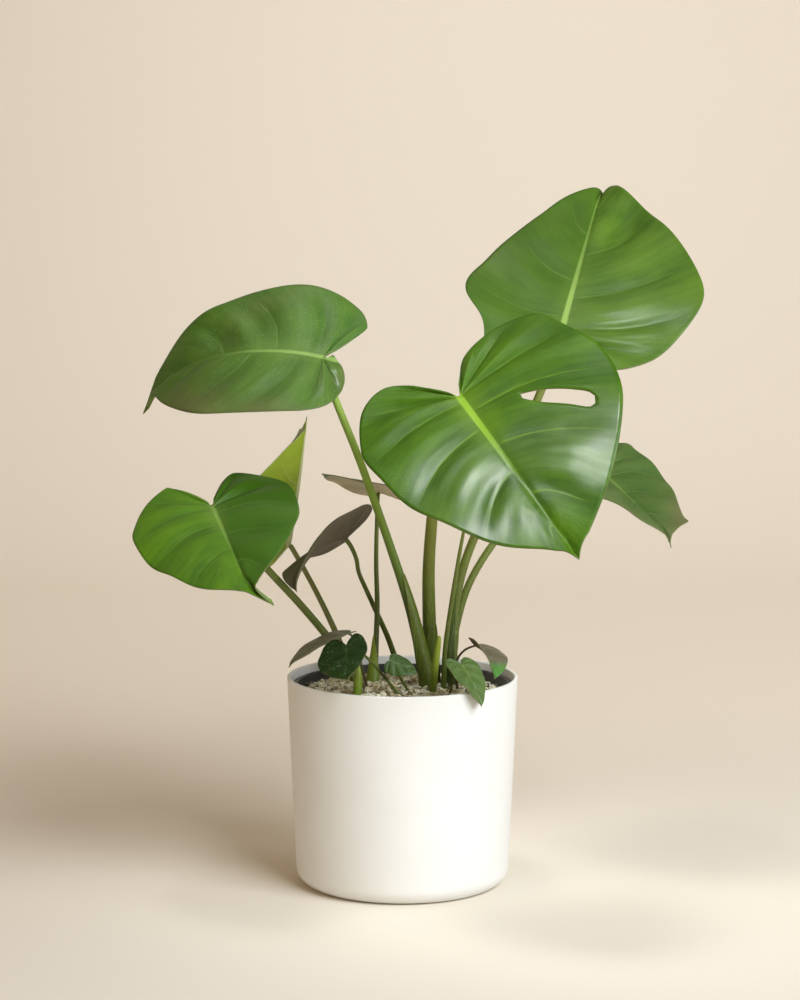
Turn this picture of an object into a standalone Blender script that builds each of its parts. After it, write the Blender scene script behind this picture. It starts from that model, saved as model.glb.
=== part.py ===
"""Potted monstera: a turned cover pot, a nursery pot and its mix, and thirteen leaves on their petioles.

Metres, +Z up. The origin is the centre of the cover pot's underside. The plant's front is -Y.
"""

import math

import bmesh
import bpy
import numpy as np
from mathutils import Vector

# Pots and mix
COVER_HEIGHT = 0.1725
COVER_RIM_RADIUS = 0.095
COVER_FOOT_RADIUS = 0.0876
COVER_WALL = 0.003
COVER_FLOOR = 0.004
COVER_ROUND = 0.0135
GROW_RIM_RADIUS = 0.0905
GROW_FOOT_RADIUS = 0.068
GROW_WALL = 0.0015
GROW_RIM_DROP = 0.006
GROW_LIP_WIDTH = 0.0025
GROW_LIP_HEIGHT = 0.008
DRAIN_COUNT = 6
DRAIN_RADIUS = 0.006
DRAIN_CIRCLE = 0.045
MIX_EDGE_HEIGHT = 0.1530
MIX_MIDDLE_HEIGHT = 0.1615
GAP = 0.0003
POT_SIDES = 48
MIX_SIDES = 32

# Leaves and petioles
LEAF_THICKNESS = 0.0012
STATIONS = 14
STRIPS = 6
SMALL_STATIONS = 10
SMALL_STRIPS = 4
SINUS_START = 0.09
RIB_START = 0.43
RIB_POWER = 1.1
HOOK_START = 0.86
FOOT_DEPTH = 0.010
FOOT_RISE = 0.004
SOCKET_MARGIN = 0.0008
SPAN_POINTS = 3

# One half of a heart, as (along the rib, out from it), each as a share of the length and the half width
HEART = [
    (0.0, 0.0), (-0.055, 0.085), (-0.15, 0.27), (-0.185, 0.50), (-0.12, 0.77), (0.04, 0.95),
    (0.22, 1.0), (0.42, 0.91), (0.62, 0.69), (0.80, 0.41), (0.92, 0.16), (1.0, 0.0),
]

# Each blade's sinus, the way its rib points, its size and how it bends. Angles are in degrees: heading turns
# from +X towards +Y, pitch lifts the tip, roll lifts the side to the left of the rib, droop bends the rib down
# by the tip, and hook bends the last of it. fold lifts both halves, and arch curls their margins down again.
LEAVES = {
    "upper_left": dict(at=(-0.065, 0.000, 0.435), heading=171, pitch=12, roll=-38, length=0.179, width=0.155,
                       droop=60, hook=2, fold=6, arch=6, lobe=0.78, lean=0.0, twist=-11),
    "front": dict(at=(0.045, -0.070, 0.408), heading=-65, pitch=-27, roll=32, length=0.212, width=0.209,
                  droop=5, hook=1, fold=5, arch=5, lobe=1.26, lean=0.10, twist=-3),
    "upper_right": dict(at=(0.130, 0.030, 0.451), heading=74, pitch=38, roll=5, length=0.211, width=0.193,
                        droop=2, hook=40, fold=7, arch=5, lobe=1.08, lean=-0.12, twist=-3),
    "lower_left": dict(at=(-0.153, -0.035, 0.317), heading=-74, pitch=-20, roll=16, length=0.147, width=0.134,
                       droop=1, hook=2, fold=4, arch=7, lobe=1.42, lean=-0.04, twist=9),
    "unfurling": dict(at=(-0.095, 0.058, 0.273), heading=-69, pitch=62, roll=50, length=0.126, width=0.104,
                      droop=-5, hook=1, fold=28, arch=-25, lobe=0.86, lean=-0.04, twist=3),
    "right": dict(at=(0.166, 0.060, 0.336), heading=-56, pitch=-26, roll=3, length=0.109, width=0.095,
                  droop=0, hook=50, fold=17, arch=15, lobe=1.30, lean=0.0, twist=-11),
    "back_upper": dict(at=(-0.020, 0.075, 0.316), heading=238, pitch=23, roll=-2, length=0.086, width=0.074,
                       droop=16, hook=10, fold=1, arch=6, lobe=1.21, lean=0.08, twist=-3),
    "back_lower": dict(at=(-0.047, 0.030, 0.282), heading=230, pitch=1, roll=40, length=0.105, width=0.079,
                       droop=48, hook=16, fold=24, arch=32, lobe=0.63, lean=0.11, twist=1),
    "rim_heart": dict(at=(-0.045, -0.060, 0.208), heading=-88, pitch=-25, roll=20, length=0.047, width=0.043,
                      droop=2, hook=1, fold=1, arch=15, lobe=1.48, lean=-0.20, twist=4),
    "rim_long": dict(at=(-0.044, -0.020, 0.211), heading=198, pitch=-11, roll=6, length=0.058, width=0.037,
                     droop=28, hook=18, fold=7, arch=3, lobe=0.40, lean=0.0, twist=-9),
    "rim_middle": dict(at=(-0.010, -0.045, 0.193), heading=-21, pitch=-16, roll=39, length=0.025, width=0.022,
                       droop=22, hook=4, fold=1, arch=40, lobe=0.51, lean=0.0, twist=-1),
    "rim_front": dict(at=(0.047, -0.062, 0.193), heading=-52, pitch=-37, roll=-5, length=0.041, width=0.035,
                      droop=22, hook=1, fold=4, arch=7, lobe=0.91, lean=0.01, twist=-14),
    "rim_right": dict(at=(0.059, -0.025, 0.2017), heading=-49, pitch=-9, roll=-25, length=0.042, width=0.034,
                      droop=55, hook=9, fold=29, arch=26, lobe=0.21, lean=0.28, twist=10),
}
SMALL_LEAVES = ("rim_heart", "rim_long", "rim_middle", "rim_front", "rim_right")

# The front leaf's slit, between two side veins: its station at each end, how far out it starts and ends as a
# share of the half blade, and its half height in stations
SLIT = dict(leaf="front", inner=0.555, outer=0.630, start=0.36, end=0.80, half=0.024)
SLIT_STRIPS = 10

# Each petiole's radius at its top and foot, and its route from just under the leaf down to the mix
PETIOLES = {
    "upper_left": dict(top=0.0028, foot=0.0052, route=[
        (-0.057, 0.004, 0.406), (-0.034, 0.001, 0.348), (-0.011, -0.004, 0.283), (0.006, -0.008, 0.230),
        (0.018, -0.011, 0.176)]),
    "front": dict(top=0.0032, foot=0.0055, route=[
        (0.044, -0.062, 0.396), (0.029, -0.032, 0.346), (0.022, -0.008, 0.275), (0.022, 0.002, 0.220),
        (0.024, 0.006, 0.176)]),
    "upper_right": dict(top=0.0030, foot=0.0045, route=[
        (0.127, 0.032, 0.440), (0.112, 0.027, 0.400), (0.080, 0.018, 0.330), (0.052, 0.009, 0.267),
        (0.040, 0.002, 0.210), (0.038, 0.000, 0.176)]),
    "right": dict(top=0.0022, foot=0.0035, route=[
        (0.160, 0.064, 0.329), (0.130, 0.056, 0.314), (0.090, 0.042, 0.293), (0.058, 0.028, 0.250),
        (0.044, 0.019, 0.208), (0.041, 0.015, 0.176)]),
    "lower_left": dict(top=0.0026, foot=0.0034, route=[
        (-0.149, -0.030, 0.310), (-0.111, -0.010, 0.263), (-0.083, 0.002, 0.230), (-0.058, 0.008, 0.198),
        (-0.044, 0.010, 0.174)]),
    "unfurling": dict(top=0.0020, foot=0.0030, route=[
        (-0.091, 0.058, 0.267), (-0.074, 0.052, 0.237), (-0.058, 0.041, 0.206), (-0.044, 0.030, 0.174)]),
    "back_upper": dict(top=0.0016, foot=0.0030, route=[
        (-0.021, 0.069, 0.308), (-0.022, 0.045, 0.263), (-0.021, 0.028, 0.228), (-0.022, 0.015, 0.194),
        (-0.023, 0.010, 0.172)]),
    "back_lower": dict(top=0.0018, foot=0.0028, route=[
        (-0.043, 0.030, 0.277), (-0.034, 0.034, 0.255), (-0.025, 0.040, 0.232), (-0.012, 0.045, 0.196),
        (-0.004, 0.046, 0.172)]),
    "rim_heart": dict(top=0.0009, foot=0.0013, route=[
        (-0.043, -0.055, 0.206), (-0.036, -0.047, 0.202), (-0.024, -0.042, 0.190), (-0.011, -0.040, 0.174)]),
    "rim_long": dict(top=0.0009, foot=0.0013, route=[
        (-0.041, -0.019, 0.208), (-0.036, -0.017, 0.194), (-0.031, -0.017, 0.174)]),
    "rim_middle": dict(top=0.0008, foot=0.0012, route=[
        (-0.011, -0.043, 0.190), (-0.006, -0.036, 0.184), (0.001, -0.034, 0.172)]),
    "rim_front": dict(top=0.0009, foot=0.0013, route=[
        (0.045, -0.059, 0.190), (0.042, -0.048, 0.188), (0.040, -0.036, 0.172)]),
    "rim_right": dict(top=0.0009, foot=0.0013, route=[
        (0.0560, -0.0246, 0.2005), (0.0505, -0.0235, 0.1975), (0.0455, -0.0205, 0.191),
        (0.0440, -0.0175, 0.184), (0.0445, -0.0135, 0.174)]),
}

# New leaves still rolled in their sheaths, each a thin cone
SPEARS = {
    "spear_left": dict(top=0.0006, foot=0.0034, route=[(-0.035, -0.036, 0.186), (-0.036, -0.038, 0.174)]),
    "spear_crown": dict(top=0.0007, foot=0.0028, route=[
        (0.034, -0.034, 0.206), (0.029, -0.031, 0.190), (0.027, -0.029, 0.174)]),
    "spear_tall": dict(top=0.0006, foot=0.0026, route=[
        (0.059, 0.002, 0.332), (0.050, -0.003, 0.292), (0.041, -0.010, 0.240), (0.035, -0.016, 0.198),
        (0.034, -0.017, 0.176)]),
}
PETIOLE_SWELL = 1.5
SPEAR_SWELL = 0.5

WHITE = (0.86, 0.85, 0.82)
DARK = (0.03, 0.03, 0.032)
HUSK = (0.42, 0.33, 0.23)
GREEN = (0.08, 0.22, 0.03)
YOUNG = (0.32, 0.42, 0.05)
BRONZE = (0.20, 0.17, 0.13)
STALK = (0.22, 0.33, 0.08)


def clear_scene():
    for thing in list(bpy.data.objects):
        bpy.data.objects.remove(thing)


def painted(thing, name, colour, roughness):
    material = bpy.data.materials.new(name)
    material.use_nodes = True
    shader = material.node_tree.nodes["Principled BSDF"]
    shader.inputs["Base Color"].default_value = (*colour, 1.0)
    shader.inputs["Roughness"].default_value = roughness
    shader.inputs["Metallic"].default_value = 0.0
    thing.data.materials.append(material)


def add_object(name, shape):
    thing = bpy.data.objects.new(name, shape)
    bpy.context.scene.collection.objects.link(thing)
    return thing


def smooth(points, place):
    """The point at place, from 0 to 1, on a Catmull-Rom curve through the points."""
    spans = len(points) - 1
    start = min(int(place * spans), spans - 1)
    share = place * spans - start
    first = [2 * a - b for a, b in zip(points[0], points[1])]
    last = [2 * a - b for a, b in zip(points[-1], points[-2])]
    four = ([first] + list(points) + [last])[start:start + 4]
    found = []
    for a, b, c, d in zip(*four):
        bend = (2 * a - 5 * b + 4 * c - d) * share**2 + (3 * b - a - 3 * c + d) * share**3
        found.append(0.5 * (2 * b + (c - a) * share + bend))
    return found


# Turned pieces


def turned(name, profile, sides):
    """A closed solid of revolution, from a profile that starts and ends on the axis."""
    shape = bmesh.new()
    corners = [shape.verts.new((radius, 0.0, height)) for radius, height in profile]
    edges = [shape.edges.new(pair) for pair in zip(corners, corners[1:])]
    bmesh.ops.spin(
        shape, geom=corners + edges, axis=(0, 0, 1), cent=(0, 0, 0), angle=2 * math.pi, steps=sides,
        use_merge=True,
    )
    bmesh.ops.remove_doubles(shape, verts=shape.verts, dist=1e-6)
    bmesh.ops.recalc_face_normals(shape, faces=shape.faces)
    mesh = bpy.data.meshes.new(name)
    shape.to_mesh(mesh)
    shape.free()
    mesh.shade_smooth()
    mesh.set_sharp_from_angle(angle=math.radians(35))
    return add_object(name, mesh)


def arc(centre_radius, centre_height, radius, start, end, steps):
    """Points on a profile's round corner, between two angles in degrees."""
    angles = [math.radians(start + (end - start) * step / steps) for step in range(steps + 1)]
    return [(centre_radius + radius * math.cos(a), centre_height + radius * math.sin(a)) for a in angles]


def cover_radius(height):
    return COVER_FOOT_RADIUS + (COVER_RIM_RADIUS - COVER_FOOT_RADIUS) * height / COVER_HEIGHT


def cover_pot():
    rim_round = COVER_WALL / 2
    foot = cover_radius(COVER_ROUND) - COVER_ROUND
    inner_round = COVER_ROUND - COVER_WALL
    profile = [(0.0, 0.0)]
    profile += arc(foot, COVER_ROUND, COVER_ROUND, -90, 0, 6)
    rim = COVER_RIM_RADIUS - rim_round
    profile += arc(rim, COVER_HEIGHT - rim_round, rim_round, 0, 180, 4)
    profile += arc(foot, COVER_FLOOR + inner_round, inner_round, 0, -90, 4)
    profile += [(0.0, COVER_FLOOR)]
    pot = turned("cover_pot", profile, POT_SIDES)
    painted(pot, "satin_white", WHITE, 0.45)


def grow_outer(height):
    base = COVER_FLOOR + GAP
    top = COVER_HEIGHT - GROW_RIM_DROP
    share = (height - base) / (top - base)
    side = GROW_RIM_RADIUS - GROW_LIP_WIDTH
    return GROW_FOOT_RADIUS + (side - GROW_FOOT_RADIUS) * share


def grow_pot():
    base = COVER_FLOOR + GAP
    top = COVER_HEIGHT - GROW_RIM_DROP
    lip = top - GROW_LIP_HEIGHT
    profile = [
        (0.0, base), (GROW_FOOT_RADIUS, base), (grow_outer(lip), lip), (GROW_RIM_RADIUS, lip),
        (GROW_RIM_RADIUS, top), (grow_outer(top) - GROW_WALL, top),
        (GROW_FOOT_RADIUS - GROW_WALL, base + GROW_WALL), (0.0, base + GROW_WALL),
    ]
    pot = turned("grow_pot", profile, POT_SIDES)
    for hole in range(DRAIN_COUNT):
        turn = 2 * math.pi * hole / DRAIN_COUNT
        centre = Vector((DRAIN_CIRCLE * math.cos(turn), DRAIN_CIRCLE * math.sin(turn), base))
        cut(pot, rod(f"drain_{hole}", centre, Vector((0, 0, 1)), DRAIN_RADIUS, 4 * GROW_WALL))
    painted(pot, "black_plastic", DARK, 0.5)


def mix_height(x, y):
    edge = grow_outer(MIX_EDGE_HEIGHT) - GROW_WALL - GAP
    share = min(1.0, math.hypot(x, y) / edge)
    return MIX_EDGE_HEIGHT + (MIX_MIDDLE_HEIGHT - MIX_EDGE_HEIGHT) * (1 - share**2)


def potting_mix():
    base = COVER_FLOOR + GAP + GROW_WALL + GAP
    foot = grow_outer(base) - GROW_WALL - 2 * GAP
    edge = grow_outer(MIX_EDGE_HEIGHT) - GROW_WALL - 2 * GAP
    rings = 5
    surface = [edge * (rings - ring) / rings for ring in range(rings)]
    profile = [(0.0, base), (foot, base)]
    profile += [(radius, mix_height(radius, 0)) for radius in surface]
    profile += [(0.0, MIX_MIDDLE_HEIGHT)]
    mix = turned("potting_mix", profile, MIX_SIDES)
    for name, stalk in {**PETIOLES, **SPEARS}.items():
        ground, down = foot_line(stalk)
        deep = FOOT_DEPTH + 2 * SOCKET_MARGIN
        centre = ground + down * (deep - 3 * FOOT_DEPTH / 2)
        cut(mix, rod(f"socket_{name}", centre, down, stalk["foot"] + SOCKET_MARGIN, 3 * FOOT_DEPTH))
    painted(mix, "husk_mix", HUSK, 0.9)


def rod(name, centre, direction, radius, length):
    """A cylinder used only as a cutter."""
    bpy.ops.mesh.primitive_cylinder_add(vertices=12, radius=radius, depth=length, location=centre)
    cutter = bpy.context.object
    cutter.name = name
    cutter.rotation_mode = "QUATERNION"
    cutter.rotation_quaternion = direction.to_track_quat("Z", "Y")
    cutter.hide_render = True
    cutter.display_type = "WIRE"
    return cutter


def cut(thing, cutter):
    boolean = thing.modifiers.new(cutter.name, "BOOLEAN")
    boolean.operation = "DIFFERENCE"
    boolean.solver = "EXACT"
    boolean.object = cutter


# Leaf blades


def blade_flat(place, out, leaf):
    """Where a blade's grid point lies before it bends: along the rib, and out to its left."""
    side = abs(out)
    edge = smooth(HEART, place)
    rib = max(0.0, (place - RIB_START) / (1 - RIB_START)) ** RIB_POWER
    along = rib * (1 - side) + edge[0] * side
    across = edge[1] * side
    if place < RIB_START:
        curl = (1 - (place - SINUS_START) / (RIB_START - SINUS_START)) ** 2
        first = smooth(HEART, SINUS_START)
        follow = smooth(HEART, SINUS_START * side)
        along += curl * (follow[0] - first[0] * side)
        across += curl * (follow[1] - first[1] * side)
    if along < 0:
        along *= leaf["lobe"]
    across *= math.copysign(leaf["width"] / 2, out)
    return along * leaf["length"], across


def rib_angle(share, leaf):
    hooked = max(0.0, (share - HOOK_START) / (1 - HOOK_START)) ** 1.5
    return -math.radians(leaf["droop"] * max(0.0, share) + leaf["hook"] * hooked)


def rib_point(share, leaf):
    """The rib's place and slope, from its slope added up in small steps."""
    steps = 24
    middles = (np.arange(steps) + 0.5) / steps * share
    slopes = np.array([rib_angle(middle, leaf) for middle in middles])
    step = share * leaf["length"] / steps
    return step * np.cos(slopes).sum(), step * np.sin(slopes).sum(), rib_angle(share, leaf)


def blade_bent(along, across, leaf):
    """The grid point bent about the rib and along it, still in the blade's own frame."""
    rib_x, rib_z, slope = rib_point(along / leaf["length"], leaf)
    across *= 1 + leaf["lean"] * (1 if across > 0 else -1)
    half = leaf["width"] / 2
    lift = math.radians(leaf["fold"] - 0.5 * leaf["arch"] * abs(across) / half)
    side = across * math.cos(lift)
    rise = abs(across) * math.sin(lift)
    turn = math.radians(leaf["twist"]) * max(-0.2, min(1.0, along / leaf["length"]))
    side, rise = side * math.cos(turn) - rise * math.sin(turn), side * math.sin(turn) + rise * math.cos(turn)
    return Vector((rib_x - math.sin(slope) * rise, side, rib_z + math.cos(slope) * rise))


def leaf_blade(name, leaf, stations, strips, colour, roughness):
    """A grid shaped into a blade, closed at its sinus and its tip, and thickened."""
    shape = bmesh.new()
    bmesh.ops.create_grid(shape, x_segments=stations, y_segments=strips, size=1.0)
    for vert in shape.verts:
        vert.co.x = SINUS_START + (1 - SINUS_START) * (vert.co.x + 1) / 2
    if name == "leaf_" + SLIT["leaf"]:
        open_slit(shape)
    for vert in shape.verts:
        vert.co = blade_bent(*blade_flat(vert.co.x, vert.co.y, leaf), leaf)
    bmesh.ops.remove_doubles(shape, verts=shape.verts, dist=1e-6)
    bmesh.ops.recalc_face_normals(shape, faces=shape.faces)
    mesh = bpy.data.meshes.new(name)
    shape.to_mesh(mesh)
    shape.free()
    mesh.shade_smooth()
    blade = add_object(name, mesh)
    blade.location = leaf["at"]
    blade.rotation_mode = "XYZ"
    blade.rotation_euler = [
        math.radians(leaf["roll"]), -math.radians(leaf["pitch"]), math.radians(leaf["heading"]),
    ]
    thick = blade.modifiers.new("thickness", "SOLIDIFY")
    thick.thickness = LEAF_THICKNESS
    thick.offset = 0.0
    painted(blade, name + "_green", colour, roughness)


def open_slit(shape):
    """Removes the cells between two of the grid's lines, and draws the lines in to the slit's sides."""
    places = sorted({round(vert.co.x, 5) for vert in shape.verts})
    middle = (SLIT["inner"] + SLIT["outer"]) / 2
    above = next(index for index, place in enumerate(places) if place > middle)
    pair = places[above - 1], places[above]
    inside = []
    for face in shape.faces:
        centre = face.calc_center_median()
        if pair[0] < centre.x < pair[1] and SLIT["start"] < centre.y < SLIT["end"]:
            inside.append(face)
    bmesh.ops.delete(shape, geom=inside, context="FACES_ONLY")
    for vert in shape.verts:
        if vert.co.y > 0 and round(vert.co.x, 5) in pair:
            side = -1 if round(vert.co.x, 5) == pair[0] else 1
            vert.co.x += (slit_side(vert.co.y, side) - vert.co.x) * min(1.0, vert.co.y / SLIT["start"])


def slit_side(out, side):
    """The station of one side of the slit: narrow at both ends and widest in the middle."""
    share = max(0.0, min(1.0, (out - SLIT["start"]) / (SLIT["end"] - SLIT["start"])))
    half = SLIT["half"] * (0.35 + 0.65 * math.sin(math.pi * share))
    return SLIT["inner"] + (SLIT["outer"] - SLIT["inner"]) * share + side * half


# Petioles and spears


def foot_line(stalk):
    """Where a stalk's straight foot meets the mix, and the way it points down into it."""
    above, end = (Vector(point) for point in stalk["route"][-2:])
    down = (end - above).normalized()
    ground = end.copy()
    while ground.z > mix_height(ground.x, ground.y):
        ground += down * FOOT_RISE / 8
    return ground, down


def stalk_curve(name, stalk, swell, colour, roughness):
    """A round stalk that swells along a smooth route, ending in a straight foot in the mix."""
    count = SPAN_POINTS * (len(stalk["route"]) - 1)
    points = [Vector(smooth(stalk["route"], step / count)) for step in range(count + 1)]
    ground, down = foot_line(stalk)
    points += [ground, ground + down * FOOT_DEPTH]
    curve = bpy.data.curves.new(name, "CURVE")
    curve.dimensions = "3D"
    curve.use_fill_caps = True
    curve.bevel_depth = 1.0
    curve.bevel_resolution = 2
    line = curve.splines.new("POLY")
    line.points.add(len(points) - 1)
    for index, (point, spot) in enumerate(zip(line.points, points)):
        share = min(1.0, index / (len(points) - 2))
        point.co = (*spot, 1.0)
        point.radius = stalk["top"] + (stalk["foot"] - stalk["top"]) * share**swell
    stem = add_object(name, curve)
    painted(stem, name + "_skin", colour, roughness)


def leaf_colour(name):
    if name == "unfurling":
        return YOUNG
    return BRONZE if name.startswith("back") else GREEN


def main():
    clear_scene()
    cover_pot()
    grow_pot()
    potting_mix()
    for name, leaf in LEAVES.items():
        stations = SMALL_STATIONS if name in SMALL_LEAVES else STATIONS
        strips = SMALL_STRIPS if name in SMALL_LEAVES else STRIPS
        if name == SLIT["leaf"]:
            strips = SLIT_STRIPS
        leaf_blade("leaf_" + name, leaf, stations, strips, leaf_colour(name), 0.4)
    for name, stalk in PETIOLES.items():
        stalk_curve("petiole_" + name, stalk, PETIOLE_SWELL, STALK, 0.5)
    for name, stalk in SPEARS.items():
        stalk_curve(name, stalk, SPEAR_SWELL, YOUNG, 0.5)


main()
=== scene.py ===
import math
import random

import bmesh
import bpy
import numpy as np
from mathutils import Matrix, Vector


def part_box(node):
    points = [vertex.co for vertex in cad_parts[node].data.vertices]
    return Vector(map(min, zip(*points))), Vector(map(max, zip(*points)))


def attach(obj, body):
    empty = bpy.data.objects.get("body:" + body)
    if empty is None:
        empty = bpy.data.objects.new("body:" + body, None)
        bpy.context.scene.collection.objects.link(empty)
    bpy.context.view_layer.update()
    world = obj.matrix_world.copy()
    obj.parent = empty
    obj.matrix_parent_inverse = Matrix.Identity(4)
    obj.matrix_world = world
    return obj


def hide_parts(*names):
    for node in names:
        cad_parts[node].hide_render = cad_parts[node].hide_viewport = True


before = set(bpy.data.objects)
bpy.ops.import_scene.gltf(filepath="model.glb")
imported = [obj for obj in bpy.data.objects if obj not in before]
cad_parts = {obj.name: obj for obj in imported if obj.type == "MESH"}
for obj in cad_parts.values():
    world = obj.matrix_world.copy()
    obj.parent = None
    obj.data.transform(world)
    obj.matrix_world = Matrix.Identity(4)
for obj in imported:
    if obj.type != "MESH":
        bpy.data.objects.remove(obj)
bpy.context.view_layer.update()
print("frame loaded,", len(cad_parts), "nodes")


# shader sums written as plain expressions
class Wire:
    def __init__(self, finish, socket):
        self.finish = finish
        self.socket = socket

    def math(self, operation, *others):
        return self.finish.node("ShaderNodeMath", {"operation": operation}, dict(enumerate((self, *others))))

    def __add__(self, other):
        return self.math("ADD", other)

    def __sub__(self, other):
        return self.math("SUBTRACT", other)

    def __rsub__(self, other):
        return self.finish.node("ShaderNodeMath", {"operation": "SUBTRACT"}, {0: other, 1: self})

    def __mul__(self, other):
        return self.math("MULTIPLY", other)

    def __truediv__(self, other):
        return self.math("DIVIDE", other)

    __radd__ = __add__
    __rmul__ = __mul__

    def size(self):
        return self.math("ABSOLUTE")

    def part(self):  # what is left after the whole number
        return self.math("FRACT")

    def step(self, low, high):  # 0 below low, 1 above high, smooth between
        inputs = {"Value": self, "From Min": low, "From Max": high}
        return self.finish.node("ShaderNodeMapRange", {"interpolation_type": "SMOOTHSTEP"}, inputs)


class Finish:
    def __init__(self, name, **values):
        self.material = bpy.data.materials.new(name)
        self.material.use_nodes = True
        self.tree = self.material.node_tree
        self.shader = self.tree.nodes["Principled BSDF"]
        self.set(**values)

    def set(self, **values):  # roughness=0.4 sets the socket Roughness, coatWeight=0.3 sets Coat Weight
        for word, value in values.items():
            name = "".join(" " + letter if letter.isupper() else letter for letter in word).title()
            name = {"Ior": "IOR", "Specular": "Specular IOR Level"}.get(name, name)
            self.put(self.shader.inputs[name], value)

    def put(self, socket, value):
        if isinstance(value, Wire):
            self.tree.links.new(value.socket, socket)
        elif socket.type == "RGBA" and len(value) == 3:
            socket.default_value = (*value, 1.0)
        else:
            socket.default_value = value

    def node(self, kind, settings=None, inputs=None, output=0):
        made = self.tree.nodes.new(kind)
        for name, value in (settings or {}).items():
            if name == "stops":
                ramp = made.color_ramp
                while len(ramp.elements) < len(value):
                    ramp.elements.new(0.5)
                for element, (place, colour) in zip(ramp.elements, value):
                    element.position = place
                    element.color = (*colour, 1.0)
            else:
                setattr(made, name, value)
        for name, value in (inputs or {}).items():
            self.put(made.inputs[name], value)
        return Wire(self, made.outputs[output])

    def place(self, scale=(1, 1, 1)):  # the piece's own coordinates, in metres
        spot = self.node("ShaderNodeTexCoord", output="Object")
        return self.node("ShaderNodeMapping", None, {"Vector": spot, "Scale": scale})

    def map(self, name):  # one of the piece's UV maps, as its two numbers
        spot = self.node("ShaderNodeUVMap", {"uv_map": name})
        first = self.node("ShaderNodeSeparateXYZ", None, {0: spot}, output=0)
        second = Wire(self, first.socket.node.outputs[1])
        return spot, first, second

    def noise(self, vector, scale, detail=3.0, roughness=0.5):
        inputs = {"Vector": vector, "Scale": scale, "Detail": detail, "Roughness": roughness}
        return self.node("ShaderNodeTexNoise", None, inputs)

    def cells(self, vector, scale, feature="F1"):
        return self.node("ShaderNodeTexVoronoi", {"feature": feature}, {"Vector": vector, "Scale": scale})

    def mix(self, share, first, second):
        inputs = {0: share, 6: first, 7: second}
        return self.node("ShaderNodeMix", {"data_type": "RGBA"}, inputs, output=2)

    def bump(self, height, strength, distance):
        inputs = {"Height": height, "Strength": strength, "Distance": distance}
        return self.node("ShaderNodeBump", None, inputs)


def shade(colour, much):  # the same colour, darker
    return tuple(much * part for part in colour)


def give(piece, *finishes):
    piece.data.materials.clear()
    for finish in finishes:
        piece.data.materials.append(finish.material)


# modelling by hand
def deselect():
    if bpy.context.mode != "OBJECT":
        bpy.ops.object.mode_set(mode="OBJECT")
    bpy.ops.object.select_all(action="DESELECT")


def pick(piece, kind="FACE", test=None):
    bpy.ops.object.mode_set(mode="EDIT")
    bpy.ops.mesh.select_mode(type=kind)
    bpy.ops.mesh.select_all(action="DESELECT")
    shape = bmesh.from_edit_mesh(piece.data)
    group = {"FACE": shape.faces, "EDGE": shape.edges, "VERT": shape.verts}[kind]
    for item in group:
        if test is None or test(item):
            item.select_set(True)
    shape.select_flush_mode()
    bmesh.update_edit_mesh(piece.data)


def done(piece, angle=None):
    if bpy.context.mode != "OBJECT":
        bpy.ops.object.mode_set(mode="OBJECT")
    deselect()
    piece.select_set(True)
    bpy.context.view_layer.objects.active = piece
    bpy.ops.object.transform_apply(location=True, rotation=True, scale=True)
    if angle is None:
        bpy.ops.object.shade_smooth()
    else:
        bpy.ops.object.shade_smooth_by_angle(angle=math.radians(angle))


def apply(piece, kind, **settings):
    deselect()
    piece.select_set(True)
    bpy.context.view_layer.objects.active = piece
    modifier = piece.modifiers.new(kind.title(), kind)
    for name, value in settings.items():
        setattr(modifier, name, value)
    bpy.ops.object.modifier_apply(modifier=modifier.name)


def smoothLine(points, places):  # Catmull-Rom through the points, at places from 0 to 1
    points = np.array(points, float)
    padded = np.vstack([2 * points[0] - points[1], points, 2 * points[-1] - points[-2]])
    places = np.clip(np.asarray(places, float), 0, 1) * (len(points) - 1)
    start = np.minimum(places.astype(int), len(points) - 2)
    share = (places - start)[..., None]
    a, b, c, d = (padded[start + step] for step in range(4))
    bend = (2 * a - 5 * b + 4 * c - d) * share**2 + (3 * b - a - 3 * c + d) * share**3
    return 0.5 * (2 * b + (c - a) * share + bend)


def nodeOf(name):  # leafFront covers the node leaf_front
    return "".join("_" + letter.lower() if letter.isupper() else letter for letter in name)


def ease(value, low, high):
    share = np.clip((value - low) / (high - low), 0, 1)
    return share * share * (3 - 2 * share)


# cover pot: a turned cup with a round foot and a thin rim
coverLook = {
    "white": (0.8, 0.8, 0.775),
    "shade": (0.775, 0.772, 0.74),
    "roughness": 0.42,
    "wall": 0.003,
    "floor": 0.004,
    "footRound": 0.0135,
    "rimRound": 0.0011,
    "taper": 0.922,  # foot radius as a share of the rim's
    "sides": 160, "footSteps": 12, "innerSteps": 8, "rimSteps": 4,
    "smooth": 40,  # edges sharper than this many degrees stay sharp
}


def satinWhite():
    finish = Finish("satinWhite", specular=0.45)
    spot = finish.place()
    cloud = finish.noise(spot, 14, 2)
    finish.set(baseColor=finish.mix(cloud.step(0.3, 0.75), coverLook["shade"], coverLook["white"]))
    finish.set(roughness=coverLook["roughness"] + 0.08 * cloud)
    grain = finish.noise(spot, 1400, 2)
    finish.set(normal=finish.bump(grain, 0.08, 0.0002))
    return finish


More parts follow.
